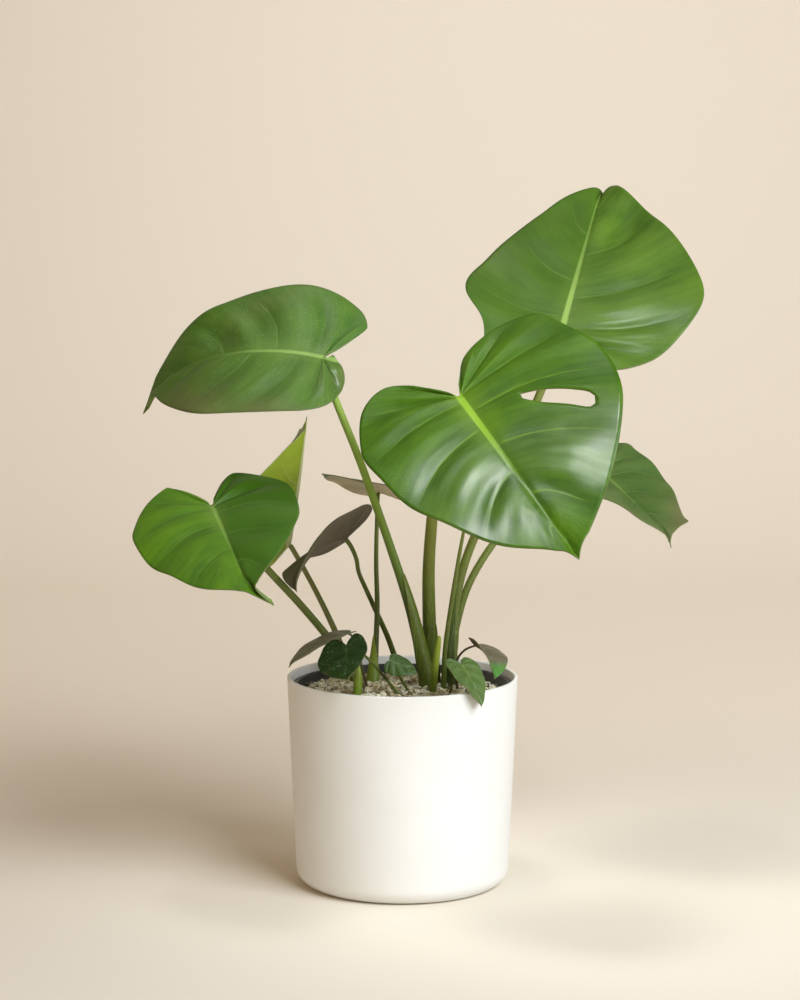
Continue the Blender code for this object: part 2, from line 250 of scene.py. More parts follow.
def makeCoverPot():
    low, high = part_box("cover_pot")
    radius, height = (high.x - low.x) / 2, high.z
    look = coverLook
    deselect()
    bpy.ops.mesh.primitive_cylinder_add(
        vertices=look["sides"], radius=radius, depth=height, location=(0, 0, height / 2)
    )
    pot = bpy.context.object
    pot.name = "coverPot"
    pick(pot, "FACE", lambda face: face.normal.z > 0.9)
    bpy.ops.mesh.inset(thickness=look["wall"])
    bpy.ops.mesh.extrude_region_move(TRANSFORM_OT_translate={"value": (0, 0, look["floor"] - height)})
    bpy.ops.transform.resize(value=(look["taper"], look["taper"], 1))
    pick(pot, "FACE", lambda face: face.normal.z < -0.9)
    bpy.ops.transform.resize(value=(look["taper"], look["taper"], 1))
    bpy.ops.mesh.select_mode(type="EDGE")
    bpy.ops.mesh.bevel(offset=look["footRound"], segments=look["footSteps"], affect="EDGES")
    inner = look["footRound"] - look["wall"]
    pick(pot, "FACE", lambda face: face.normal.z > 0.9 and len(face.verts) == look["sides"])
    bpy.ops.mesh.select_mode(type="EDGE")
    bpy.ops.mesh.bevel(offset=inner, segments=look["innerSteps"], affect="EDGES")
    top = height / 2 - 0.0001
    # the rim's two rings
    pick(pot, "EDGE", lambda edge: all(vert.co.z > top for vert in edge.verts) and edge.calc_length() < 0.02
         and abs(edge.verts[0].co.xy.length - edge.verts[1].co.xy.length) < 1e-5)
    bpy.ops.mesh.bevel(offset=look["rimRound"], segments=look["rimSteps"], affect="EDGES")
    done(pot, look["smooth"])
    give(pot, satinWhite())
    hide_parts("cover_pot")
    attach(pot, "root")
    print("cover pot made")


makeCoverPot()


# nursery pot: black plastic with a folded lip
growLook = {
    "black": (0.028, 0.028, 0.03),
    "dust": (0.075, 0.07, 0.062),
    "wall": 0.0016,
    "lip": 0.008,
    "lipWidth": 0.0025,
    "footRadius": 0.068,
    "edgeRound": 0.0006, "edgeSteps": 3, "edgeAngle": 50,
    "sides": 128,
    "smooth": 40,
}


def blackPlastic():
    finish = Finish("blackPlastic", specular=0.4)
    spot = finish.place()
    dust = finish.noise(spot, 60, 5, 0.65).step(0.45, 0.75)
    finish.set(baseColor=finish.mix(dust, growLook["black"], growLook["dust"]), roughness=0.42 + 0.35 * dust)
    finish.set(normal=finish.bump(finish.noise(spot, 700, 2), 0.25, 0.0003))
    return finish


def makeGrowPot():
    low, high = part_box("grow_pot")
    look = growLook
    outer, height = (high.x - low.x) / 2, high.z - low.z
    body = outer - look["lipWidth"]
    taper = look["footRadius"] / body
    deselect()
    bpy.ops.mesh.primitive_cylinder_add(
        vertices=look["sides"], radius=body, depth=height, location=(0, 0, low.z + height / 2)
    )
    pot = bpy.context.object
    pot.name = "growPot"
    pick(pot, "FACE", lambda face: face.normal.z > 0.9)
    bpy.ops.mesh.inset(thickness=look["wall"])
    bpy.ops.mesh.extrude_region_move(TRANSFORM_OT_translate={"value": (0, 0, look["wall"] - height)})
    bpy.ops.transform.resize(value=(taper, taper, 1))
    pick(pot, "FACE", lambda face: face.normal.z < -0.9)
    bpy.ops.transform.resize(value=(taper, taper, 1))
    # the lip is a band cut from the top of the wall and pushed out
    pick(pot)
    bpy.ops.mesh.bisect(plane_co=(0, 0, high.z - look["lip"]), plane_no=(0, 0, 1))
    band = height / 2 - look["lip"]
    pick(pot, "FACE", lambda face: face.calc_center_median().z > band and face.normal.xy.length > 0.9
         and face.normal.xy.dot(face.calc_center_median().xy) > 0)
    bpy.ops.mesh.extrude_region_shrink_fatten(TRANSFORM_OT_shrink_fatten={"value": look["lipWidth"]})
    done(pot, look["smooth"])
    apply(
        pot, "BEVEL", width=look["edgeRound"], segments=look["edgeSteps"], limit_method="ANGLE",
        angle_limit=math.radians(look["edgeAngle"])
    )
    done(pot, look["smooth"])
    give(pot, blackPlastic())
    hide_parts("grow_pot")
    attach(pot, "root")
    print("grow pot made")


makeGrowPot()


# potting mix: a rough dome under loose bark, husk fibre and white grit
mixLook = {
    "edgeHeight": 0.153,
    "middleHeight": 0.1615,
    "footRadius": 0.0655,
    "rings": 10,
    "sides": 96,
    "lumps": (0.0008, 0.003),
    "ground": (0.7, 0.61, 0.4),
    "groundDark": (0.17, 0.13, 0.08),
    "chips": {"barkPale": ((0.98, 0.88, 0.56), 640), "barkBrown": ((0.82, 0.69, 0.42), 330),
              "huskLight": ((1.0, 0.95, 0.72), 640), "barkDark": ((0.2, 0.18, 0.14), 70)},
    "chipSize": (0.0036, 0.0022, 0.0013),
    "heap": 0.0042,
    "chipTilt": 0.35,
    "grit": (0.88, 0.86, 0.8),
    "gritDark": (0.62, 0.6, 0.55),
    "gritCount": 160,
    "gritSize": 0.0016,
    "fibres": 240,
    "fibre": (0.74, 0.66, 0.46),
    "fibreDark": (0.35, 0.25, 0.15),
    "fibreSize": (0.012, 0.006, 0.006),
    "seed": 11,
}
mixLow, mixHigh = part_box("potting_mix")
mixRadius = (mixHigh.x - mixLow.x) / 2


def mixHeight(x, y):
    edge, middle = mixLook["edgeHeight"], mixLook["middleHeight"]
    return edge + (middle - edge) * (1 - min(1.0, math.hypot(x, y) / mixRadius) ** 2)


def crumbly(name, colour, dark, scale):
    finish = Finish(name, specular=0.2)
    spot = finish.place()
    grain = finish.noise(spot, scale, 6, 0.7)
    finish.set(baseColor=finish.mix(grain.step(0.35, 0.62), dark, colour), roughness=0.82 + 0.15 * grain)
    finish.set(normal=finish.bump(grain, 0.8, 0.0012))
    return finish


def makeMix():
    look, top, bottom = mixLook, mixLook["edgeHeight"], mixLow.z
    deselect()
    bpy.ops.mesh.primitive_cylinder_add(
        vertices=look["sides"], radius=mixRadius, depth=top - bottom, location=(0, 0, (top + bottom) / 2)
    )
    dome = bpy.context.object
    dome.name = "pottingMix"
    pick(dome, "FACE", lambda face: face.normal.z < -0.9)
    foot = look["footRadius"] / mixRadius
    bpy.ops.transform.resize(value=(foot, foot, 1))
    pick(dome, "FACE", lambda face: face.normal.z > 0.9)
    for ring in range(look["rings"]):
        bpy.ops.mesh.inset(thickness=mixRadius / (look["rings"] + 1))
    bpy.ops.mesh.poke()
    bpy.ops.object.mode_set(mode="OBJECT")
    deselect()
    dome.select_set(True)
    bpy.ops.object.transform_apply(location=True, rotation=True, scale=True)
    dice = random.Random(look["seed"])
    for vert in dome.data.vertices:
        if vert.co.z > top - 0.001 and vert.co.xy.length < mixRadius - 0.002:
            vert.co.z = mixHeight(vert.co.x, vert.co.y) + look["heap"] - dice.uniform(*look["lumps"])
    done(dome, 50)
    give(dome, crumbly("huskMix", look["ground"], look["groundDark"], 260))
    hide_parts("potting_mix")
    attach(dome, "root")


def chipSource():
    deselect()
    bpy.ops.mesh.primitive_cube_add(size=1)
    chip = bpy.context.object
    pick(chip)
    bpy.ops.mesh.bevel(offset=0.22, segments=1, affect="EDGES")
    bpy.ops.object.mode_set(mode="OBJECT")
    return chip


def gritSource():
    deselect()
    bpy.ops.mesh.primitive_ico_sphere_add(subdivisions=1, radius=0.5)
    return bpy.context.object


def fibreSource():
    deselect()
    bpy.ops.mesh.primitive_cylinder_add(vertices=5, radius=0.02, depth=1, rotation=(0, math.pi / 2, 0))
    strand = bpy.context.object
    bpy.ops.object.transform_apply(rotation=True)
    pick(strand)
    for cut in (-0.25, 0.0, 0.25):
        bpy.ops.mesh.select_all(action="SELECT")
        bpy.ops.mesh.bisect(plane_co=(cut, 0, 0), plane_no=(1, 0, 0))
    bpy.ops.object.mode_set(mode="OBJECT")
    for vert in strand.data.vertices:
        vert.co.z += 0.16 * math.sin(3.1 * vert.co.x)
        vert.co.y += 0.1 * math.cos(5.0 * vert.co.x)
    return strand


def scatter(name, source, finish, count, sizes, seed, rough=0.18, lift=0.0):
    dice = random.Random(seed)
    heap = bmesh.new()
    reach, tilt = mixRadius - 0.002, mixLook["chipTilt"]
    for copy in range(count):
        away = reach * math.sqrt(dice.random())
        around = dice.uniform(0, 2 * math.pi)
        x, y = away * math.cos(around), away * math.sin(around)
        part = source.data.copy()
        grow = dice.uniform(0.55, 1.45)
        for vert in part.vertices:
            vert.co += Vector((dice.uniform(-1, 1), dice.uniform(-1, 1), dice.uniform(-1, 1))) * rough * 0.5
        turn = Matrix.Rotation(dice.uniform(0, 6.3), 4, "Z") @ Matrix.Rotation(dice.gauss(0, tilt), 4, "X")
        turn = turn @ Matrix.Rotation(dice.gauss(0, tilt), 4, "Y")
        size = Matrix.Diagonal((*(grow * side for side in sizes), 1))
        height = mixHeight(x, y) + mixLook["heap"] + lift + dice.uniform(-0.0012, 0.0012)
        part.transform(Matrix.Translation((x, y, height)) @ turn @ size)
        heap.from_mesh(part)
        bpy.data.meshes.remove(part)
    mesh = bpy.data.meshes.new(name)
    heap.to_mesh(mesh)
    heap.free()
    piece = bpy.data.objects.new(name, mesh)
    bpy.context.scene.collection.objects.link(piece)
    give(piece, finish)
    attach(piece, "root")
    return piece


def makeChips():
    chip, grit, strand = chipSource(), gritSource(), fibreSource()
    for index, (name, (colour, count)) in enumerate(mixLook["chips"].items()):
        finish = crumbly(name, colour, shade(colour, 0.62), 900)
        size = tuple(side * (0.85 + 0.12 * index) for side in mixLook["chipSize"])
        scatter(name, chip, finish, count, size, mixLook["seed"] + index, lift=0.0004 * (index % 3))
    gritFinish = crumbly("perliteWhite", mixLook["grit"], mixLook["gritDark"], 1500)
    scatter("perlite", grit, gritFinish, mixLook["gritCount"], (mixLook["gritSize"],) * 3, 40, 0.3, 0.001)
    fibreFinish = crumbly("huskFibre", mixLook["fibre"], mixLook["fibreDark"], 1200)
    scatter("huskFibres", strand, fibreFinish, mixLook["fibres"], mixLook["fibreSize"], 50, 0.0, 0.0016)
    for source in (chip, grit, strand):
        bpy.data.objects.remove(source)
    print("potting mix made")


makeMix()
makeChips()


# leaf blades: a grid laid out as a heart, bent about its rib, quilted between its side veins
heart = [(0.0, 0.0), (-0.055, 0.085), (-0.15, 0.27), (-0.185, 0.5), (-0.12, 0.77), (0.04, 0.95),
         (0.22, 1.0), (0.42, 0.91), (0.62, 0.69), (0.8, 0.41), (0.92, 0.16), (1.0, 0.0)]
stations = (0.1, 0.2, 0.32, 0.44, 0.56, 0.68, 0.8, 0.91)
bladeGrid = {"rows": 96, "columns": 60, "start": 0.09, "ribStart": 0.43, "ribPower": 1.6, "thickness": 0.0007}

# angles in degrees; left and right widen the heart at each station; a crease is its place along,
# its place across, its two half widths and its depth
plainShape = {
    "lean": 0.0, "twist": 0, "drip": (0, 0, 0), "dripStart": 0.93, "pinch": 0.5, "tipFold": 0, "left": (),
    "right": (), "corner": None, "quilt": 0.0012, "wave": 0.0015, "waves": 2.2, "groove": 0.0009,
    "creases": (), "veins": 7.0, "bow": 0.055, "slit": None,
}
# a look can mix the blade's left half towards its deep green, which is painted shade on the half turned from
# the light
plainLook = {
    "deep": (0.035, 0.125, 0.012), "mid": (0.075, 0.215, 0.022), "vein": (0.3, 0.46, 0.1),
    "edge": (0.16, 0.17, 0.05), "under": (0.16, 0.26, 0.07), "brown": 0.0, "specks": 0.0,
    "roughness": 0.38, "coat": 0.15, "coatRoughness": 0.25, "specular": 0.45, "veinShow": 0.5,
    "ribWidth": 0.002, "ribShow": 0.8, "ribFade": 0.6, "glow": 0.3, "tip": None,
    "ribPale": 0.25, "shine": (), "dusk": 0.0, "tan": (0.16, 0.135, 0.06), "speck": (0.42, 0.5, 0.34),
}

leaves = {
    "leafUpperLeft": {
        "at": (-0.065, 0.0, 0.435), "heading": 171, "pitch": 12, "roll": -38, "length": 0.179,
        "width": 0.155, "droop": 60, "hook": 2, "fold": 6, "arch": 6, "lobe": 0.78, "twist": -11,
        "drip": (-0.006, -0.002, -0.017), "pinch": 0.9, "dripStart": 0.945, "quilt": 0.0026,
        "creases": ((0.69, -0.55, 0.03, 0.32, 0.005), (0.775, -0.55, 0.028, 0.3, 0.004)),
        "right": (0.06, 0.15, 0.02, 0, -0.03, -0.02, 0.12, 0.04),
        "left": (-0.13, -0.09, 0, 0, -0.04, 0.08, 0.04, 0),
        "look": {"deep": (0.035, 0.1, 0.007), "mid": (0.08, 0.175, 0.015), "brown": 0.5, "coat": 0.04,
                 "roughness": 0.5, "specks": 0.45, "specular": 0.3, "ribShow": 0.55, "ribWidth": 0.0024,
                 "ribFade": 0.85, "veinShow": 0.12, "shine": (((-0.06, 0.66), 0.16, 0.5),)},
    },
    "leafFront": {
        "at": (0.045, -0.07, 0.408), "heading": -65, "pitch": -27, "roll": 32, "length": 0.212,
        "width": 0.209, "droop": 5, "hook": 1, "fold": 5, "arch": 5, "lobe": 1.26, "lean": 0.1, "twist": -3,
        "quilt": 0.0036, "wave": 0.002, "pinch": 0.35, "drip": (0.001, -0.001, -0.002),
        "right": (-0.01, 0.03, 0.03, 0.02, -0.05, -0.02, 0.05, -0.02),
        "left": (-0.02, -0.08, 0.1, -0.02, -0.01, 0, -0.01, 0.03),
        "slit": {"inner": 0.603, "outer": 0.656, "start": 0.345, "end": 0.83, "half": 0.016},
        "look": {"deep": (0.022, 0.078, 0.001), "mid": (0.076, 0.18, 0.004), "coat": 0.03, "roughness": 0.4,
                 "specular": 0.21, "coatRoughness": 0.3, "veinShow": 0.45, "ribWidth": 0.0032,
                 "ribFade": 0.85, "glow": 0.4,
                 "shine": (((0.58, 0.31), 0.42, 1.0), ((0.57, 0.82), 0.3, 1.2), ((0.4, 0.66), 0.22, 0.4)),
                 "vein": (0.28, 0.5, 0.03), "edge": (0.2, 0.16, 0.06)},
    },
    "leafUpperRight": {
        "at": (0.13, 0.03, 0.451), "heading": 74, "pitch": 38, "roll": 5, "length": 0.211, "width": 0.193,
        "droop": 2, "hook": 40, "fold": 7, "arch": 5, "lobe": 1.08, "lean": -0.12, "twist": -3,
        "tipFold": 16, "quilt": 0.0026, "drip": (0.0, 0.008, -0.006),
        "creases": ((0.82, -0.7, 0.045, 0.3, 0.006), (0.62, 0.75, 0.03, 0.35, 0.004)),
        "right": (0, 0.01, -0.02, -0.02, 0.04, 0, -0.02, 0.02),
        "left": (0, 0, -0.05, -0.16, 0.08, -0.04, 0.01, -0.05),
        # this look paints shade on the blade's left half
        "look": {"deep": (0.034, 0.098, 0.003), "mid": (0.105, 0.205, 0.016), "brown": 0.2, "coat": 0.02,
                 "roughness": 0.46, "specular": 0.22, "dusk": 0.5, "ribWidth": 0.003, "ribShow": 0.8,
                 "veinShow": 0.18, "shine": (((0.12, 0.16), 0.28, 0.35),), "edge": (0.2, 0.17, 0.07)},
    },
    "leafLowerLeft": {
        "at": (-0.153, -0.035, 0.317), "heading": -74, "pitch": -20, "roll": 16, "length": 0.147,
        "width": 0.134, "droop": 1, "hook": 2, "fold": 14, "arch": 27, "lobe": 1.42, "lean": -0.04,
        "twist": 9, "drip": (0.0165, -0.002, -0.007), "pinch": 0.45, "quilt": 0.0016,
        "creases": ((0.44, 0.4, 0.05, 0.35, 0.003), (0.74, 0.45, 0.04, 0.4, 0.002)),
        "right": (-0.06, 0.04, -0.12, 0.03, -0.02, -0.01, 0.07, -0.03),
        "left": (-0.02, -0.03, -0.09, 0.04, -0.01, 0.04, 0, 0),
        # this look paints shade on the blade's left half
        "look": {"deep": (0.03, 0.1, 0.002), "mid": (0.1, 0.23, 0.005), "coat": 0.05, "roughness": 0.48,
                 "veinShow": 0.15, "ribShow": 0.4, "specular": 0.26, "dusk": 0.75},
    },
    "leafUnfurling": {
        "at": (-0.095, 0.058, 0.273), "heading": -69, "pitch": 62, "roll": 50, "length": 0.126,
        "width": 0.104, "droop": -5, "hook": 1, "fold": 28, "arch": -25, "lobe": 0.86, "lean": -0.04,
        "twist": 3, "dripStart": 0.84, "pinch": 0.55, "quilt": 0.0006, "wave": 0.001,
        "right": (0.08, 0, -0.08, 0, 0, 0.06, -0.03, -0.09), "left": (0.07, 0.02, 0, 0, 0, 0.02, 0, -0.02),
        "look": {"deep": (0.16, 0.26, 0.012), "mid": (0.28, 0.38, 0.03), "under": (0.34, 0.46, 0.035),
                 "coat": 0.15, "veinShow": 0.15, "edge": (0.6, 0.66, 0.36), "vein": (0.7, 0.74, 0.4),
                 "ribPale": 0.95, "ribWidth": 0.0045, "ribShow": 1.0, "ribFade": 0.1},
    },
    "leafRight": {
        "at": (0.166, 0.06, 0.336), "heading": -56, "pitch": -26, "roll": 3, "length": 0.109,
        "width": 0.095, "droop": 0, "hook": 50, "fold": 17, "arch": 15, "lobe": 1.3, "twist": -11,
        "dripStart": 0.9, "drip": (0.0, 0.0, -0.003), "quilt": 0.0014,
        "right": (0, 0, 0, 0, 0, 0, 0.06, -0.03), "left": (0, 0, 0.24, -0.01, -0.03, -0.03, 0.1, -0.05),
        "corner": (0.83, 1, 0.16, 0.03),
        "look": {"deep": (0.045, 0.1, 0.014), "mid": (0.095, 0.165, 0.032), "brown": 0.6, "coat": 0.06,
                 "roughness": 0.5, "veinShow": 0.2, "ribShow": 0.3, "specular": 0.35},
    },
    "leafBackUpper": {
        "at": (-0.02, 0.075, 0.316), "heading": 238, "pitch": 23, "roll": -2, "length": 0.086,
        "width": 0.074, "droop": 16, "hook": 10, "fold": 1, "arch": 6, "lobe": 1.21, "lean": 0.08,
        "twist": -3, "quilt": 0.0006, "wave": 0.0008,
        "look": {"deep": (0.06, 0.11, 0.03), "mid": (0.1, 0.15, 0.05), "under": (0.66, 0.6, 0.39),
                 "brown": 0.5, "coat": 0.05, "roughness": 0.5, "veinShow": 0.3},
    },
    "leafBackLower": {
        "at": (-0.047, 0.03, 0.282), "heading": 230, "pitch": 1, "roll": 40, "length": 0.105,
        "width": 0.079, "droop": 48, "hook": 16, "fold": 24, "arch": 32, "lobe": 0.63, "lean": 0.11,
        "twist": 1, "quilt": 0.0006, "wave": 0.0008,
        "look": {"deep": (0.095, 0.08, 0.05), "mid": (0.15, 0.125, 0.08), "under": (0.155, 0.125, 0.08),
                 "vein": (0.2, 0.19, 0.12), "glow": 0, "coat": 0.05, "roughness": 0.5, "veinShow": 0.35},
    },
    "leafRimHeart": {
        "at": (-0.045, -0.06, 0.208), "heading": -88, "pitch": -25, "roll": 20, "length": 0.047,
        "width": 0.043, "droop": 2, "hook": 1, "fold": 1, "arch": 15, "lobe": 1.48, "lean": -0.2,
        "twist": 4, "quilt": 0.0004, "wave": 0.0004, "groove": 0.0004,
        "look": {"deep": (0.007, 0.024, 0.001), "mid": (0.017, 0.048, 0.002), "specks": 1.0, "coat": 0.0,
                 "roughness": 0.55, "specular": 0.2, "veinShow": 0.05, "ribWidth": 0.0007, "ribShow": 0.08,
                 "glow": 0},
    },
    "leafRimLong": {
        "at": (-0.044, -0.02, 0.211), "heading": 198, "pitch": -11, "roll": 6, "length": 0.058,
        "width": 0.037, "droop": 28, "hook": 18, "fold": 7, "arch": 3, "lobe": 0.4, "twist": -9,
        "quilt": 0.0004, "wave": 0.0004, "groove": 0.0005,
        "look": {"deep": (0.1, 0.095, 0.05), "mid": (0.18, 0.165, 0.1), "under": (0.17, 0.13, 0.09),
                 "brown": 0.6, "coat": 0.05, "roughness": 0.5, "veinShow": 0.3, "ribWidth": 0.0009},
    },
    "leafRimMiddle": {
        "at": (-0.01, -0.045, 0.193), "heading": -21, "pitch": -16, "roll": 39, "length": 0.025,
        "width": 0.022, "droop": 22, "hook": 4, "fold": 1, "arch": 40, "lobe": 0.51, "twist": -1,
        "quilt": 0.0003, "wave": 0.0003, "groove": 0.0003,
        "look": {"deep": (0.03, 0.08, 0.009), "mid": (0.085, 0.16, 0.035), "specks": 0.7, "coat": 0.15,
                 "veinShow": 0.15, "ribWidth": 0.0007, "ribShow": 0.2},
    },
    "leafRimFront": {
        "at": (0.047, -0.062, 0.193), "heading": -52, "pitch": -37, "roll": -5, "length": 0.041,
        "width": 0.035, "droop": 22, "hook": 1, "fold": 4, "arch": 7, "lobe": 0.91, "twist": -14,
        "quilt": 0.0004, "wave": 0.0005, "groove": 0.0004,
        "look": {"deep": (0.062, 0.125, 0.022), "mid": (0.14, 0.225, 0.062), "specks": 0.9, "coat": 0.1,
                 "veinShow": 0.25, "ribWidth": 0.0008, "ribShow": 0.25},
    },
    "leafRimRight": {
        "at": (0.059, -0.025, 0.2017), "heading": -49, "pitch": -9, "roll": -25, "length": 0.042,
        "width": 0.034, "droop": 55, "hook": 9, "fold": 29, "arch": 26, "lobe": 0.21, "lean": 0.28,
        "twist": 10, "quilt": 0.0004, "wave": 0.0004, "groove": 0.0004,
        "look": {"deep": (0.09, 0.075, 0.042), "mid": (0.17, 0.145, 0.085), "under": (0.2, 0.16, 0.1),
                 "tip": (0.07, 0.22, 0.03), "coat": 0.05, "roughness": 0.5, "veinShow": 0.3,
                 "ribWidth": 0.0008, "ribShow": 0.3, "glow": 0},
    },
}


def flatBlade(shape, place, out):  # (along the rib, out to its left), in metres, before it bends
    grid = bladeGrid
    side = np.abs(out)
    edge = smoothLine(heart, place)
    rib = np.clip((place - grid["ribStart"]) / (1 - grid["ribStart"]), 0, 1) ** grid["ribPower"]
    along = rib * (1 - side) + edge[..., 0] * side
    across = edge[..., 1] * side
    # the first rows follow the sinus, and later ones straighten
    curl = np.clip(1 - (place - grid["start"]) / (grid["ribStart"] - grid["start"]), 0, 1) ** 2
    first = smoothLine(heart, np.full_like(place, grid["start"]))
    follow = smoothLine(heart, grid["start"] * side)
    along = along + curl * (follow[..., 0] - first[..., 0] * side)
    across = across + curl * (follow[..., 1] - first[..., 1] * side)
    along = along - shape["bow"] * np.sin(math.pi * side) * np.clip((place - 0.35) / 0.2, 0, 1)
    along = np.where(along < 0, along * shape["lobe"], along)
    tip = np.clip((place - shape["dripStart"]) / (1 - shape["dripStart"]), 0, 1)
    across = across * (1 - shape["pinch"] * tip**0.5)
    for hand, amounts in ((1, shape["left"]), (-1, shape["right"])):
        for station, amount in zip(stations, amounts):
            grow = amount * np.exp(-(((place - station) / 0.075) ** 2)) * side**2
            across = across + np.where(np.sign(out) == hand, grow, 0)
    if shape["corner"]:
        station, hand, amount, spread = shape["corner"]
        grow = amount * np.exp(-(np.abs((place - station) / spread) ** 1.4)) * side**4
        across = across + np.where(np.sign(out) == hand, grow, 0)
    across = across * np.sign(out) * (1 + shape["lean"] * np.sign(out)) * shape["width"] / 2
    return along * shape["length"], across


def ribLine(shape, share):  # where the rib is and how it slopes, at shares of the blade's length
    fine = np.linspace(-0.5, 1.3, 361)
    slope = -np.radians(shape["droop"]) * np.clip(fine, 0, None)
    slope = slope - np.radians(shape["hook"]) * np.clip((fine - 0.86) / 0.14, 0, None) ** 1.5
    step = (fine[1] - fine[0]) * shape["length"]
    forward = np.cumsum(np.cos(slope)) * step
    upward = np.cumsum(np.sin(slope)) * step
    forward -= np.interp(0, fine, forward)
    upward -= np.interp(0, fine, upward)
    return np.interp(share, fine, forward), np.interp(share, fine, upward), np.interp(share, fine, slope)


def bentBlade(shape, place, out):
    along, across = flatBlade(shape, place, out)
    share = along / shape["length"]
    forward, upward, slope = ribLine(shape, share)
    half = shape["width"] / 2
    lift = shape["fold"] - 0.5 * shape["arch"] * np.abs(across) / half
    lift = np.radians(lift + shape["tipFold"] * ease(share, 0.72, 1.0))
    side = across * np.cos(lift)
    rise = np.abs(across) * np.sin(lift)
    reach = np.abs(out)
    phase = place * shape["veins"] + np.where(out > 0, 0.0, 0.45)
    # the skin rises between the side veins, with finer pleats on top
    pillow = np.abs(np.sin(math.pi * phase)) ** 0.7
    inside = np.clip(reach * 2.4, 0, 1) * np.clip((1 - reach) * 3, 0, 1) * np.clip((1 - place) * 6, 0, 1)
    rise = rise + shape["quilt"] * (pillow - 0.6) * inside
    pleats = np.sin(2 * math.pi * phase * 3 + 2.5 * reach) * np.sin(7 * place + 3 * out + 1.3)
    rise = rise + 0.11 * shape["quilt"] * pleats * inside
    ripple = np.sin(2 * math.pi * shape["waves"] * share + 0.9 * np.sign(out))
    rise = rise + shape["wave"] * ripple * reach**3 * np.clip((1 - place) * 5, 0, 1)
    rise = rise - shape["groove"] * np.exp(-(across / (0.012 * shape["length"] + 0.0005)) ** 2)
    for line, middle, thin, long, depth in shape["creases"]:
        rise = rise - depth * np.exp(-(((place - line) / thin) ** 2) - ((out - middle) / long) ** 2)
    turn = np.radians(shape["twist"]) * np.clip(share, -0.2, 1)
    side, rise = side * np.cos(turn) - rise * np.sin(turn), side * np.sin(turn) + rise * np.cos(turn)
    return np.stack([forward - np.sin(slope) * rise, side, upward + np.cos(slope) * rise], -1), share, across


def openSlit(shape, place, out):  # rows move apart on both sides of the slit's slanted line
    slit = shape["slit"]
    share = np.clip((out - slit["start"]) / (slit["end"] - slit["start"]), 0, 1)
    middle = (slit["inner"] + slit["outer"]) / 2
    centre = slit["inner"] + (slit["outer"] - slit["inner"]) * share**0.6
    near = np.clip(1 - np.abs(place - middle) / 0.16, 0, 1)
    calm = ease(out, 0.0, slit["start"])
    slanted = place + (centre - middle) * near * calm
    point = (1 - (1 - np.clip(share / 0.45, 0, 1)) ** 2) ** 0.6
    blunt = (1 - np.clip((share - 0.82) / 0.18, 0, 1) ** 3) ** 0.5
    half = slit["half"] * point * blunt
    return slanted + np.where(place > middle, half, -half) * near**1.5


def makeBlade(name, leaf):
    shape = {**plainShape, **leaf}
    grid = bladeGrid
    deselect()
    bpy.ops.mesh.primitive_grid_add(x_subdivisions=grid["rows"], y_subdivisions=grid["columns"], size=2)
    blade = bpy.context.object
    blade.name = name
    mesh = blade.data
    spots = np.empty(len(mesh.vertices) * 3)
    mesh.vertices.foreach_get("co", spots)
    spots = spots.reshape(-1, 3)
    rows = (spots[:, 0] + 1) / 2
    place = grid["start"] + (1 - grid["start"]) * (1 - (1 - rows) ** 1.2)
    out = np.sign(spots[:, 1]) * np.abs(spots[:, 1]) ** 0.85
    if shape["slit"]:
        slit = shape["slit"]
        middle = (slit["inner"] + slit["outer"]) / 2
        lines = np.unique(np.round(place, 6))
        above = int(np.searchsorted(lines, middle))
        between = (lines[above - 1] + lines[above]) / 2
        place = place + (middle - between) * np.exp(-(((place - middle) / 0.1) ** 2))
        gone = []
        for face in mesh.polygons:
            corners = list(face.vertices)
            if place[corners].min() < middle < place[corners].max():
                if slit["start"] < out[corners].mean() < slit["end"]:
                    gone.append(face.index)
        place = openSlit(shape, place, out)
        pick(blade, "FACE", lambda face: face.index in gone)
        bpy.ops.mesh.delete(type="ONLY_FACE")
        bpy.ops.object.mode_set(mode="OBJECT")
    local, share, across = bentBlade(shape, place, out)
    turn = Matrix.Rotation(math.radians(shape["heading"]), 3, "Z")
    turn = turn @ Matrix.Rotation(-math.radians(shape["pitch"]), 3, "Y")
    turn = turn @ Matrix.Rotation(math.radians(shape["roll"]), 3, "X")
    world = local @ np.array(turn).T + np.array(shape["at"])
    tip = np.clip((place - shape["dripStart"]) / (1 - shape["dripStart"]), 0, 1)
    world = world + np.outer(tip**2, shape["drip"])
    mesh.vertices.foreach_set("co", world.ravel())
    ends = np.empty(len(mesh.loops), dtype=int)
    mesh.loops.foreach_get("vertex_index", ends)
    while mesh.uv_layers:
        mesh.uv_layers.remove(mesh.uv_layers[0])
    veins = np.stack([place, 0.5 + 0.5 * out], -1)
    metres = np.stack([share, across / shape["length"] + 0.5], -1)
    for layer, values in (("veins", veins), ("metres", metres)):
        mesh.uv_layers.new(name=layer).data.foreach_set("uv", values[ends].ravel())
    pick(blade, "VERT")
    bpy.ops.mesh.remove_doubles(threshold=1e-6)
    bpy.ops.object.mode_set(mode="OBJECT")
    look = {**plainLook, **leaf["look"]}
    give(blade, bladeTop(name, shape, look), bladeUnder(name, shape, look), bladeEdge(name, look))
    apply(
        blade, "SOLIDIFY", thickness=grid["thickness"], offset=0.0, material_offset=1, material_offset_rim=2
    )
    done(blade)
    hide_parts(nodeOf(name))
    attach(blade, "root")
    return blade


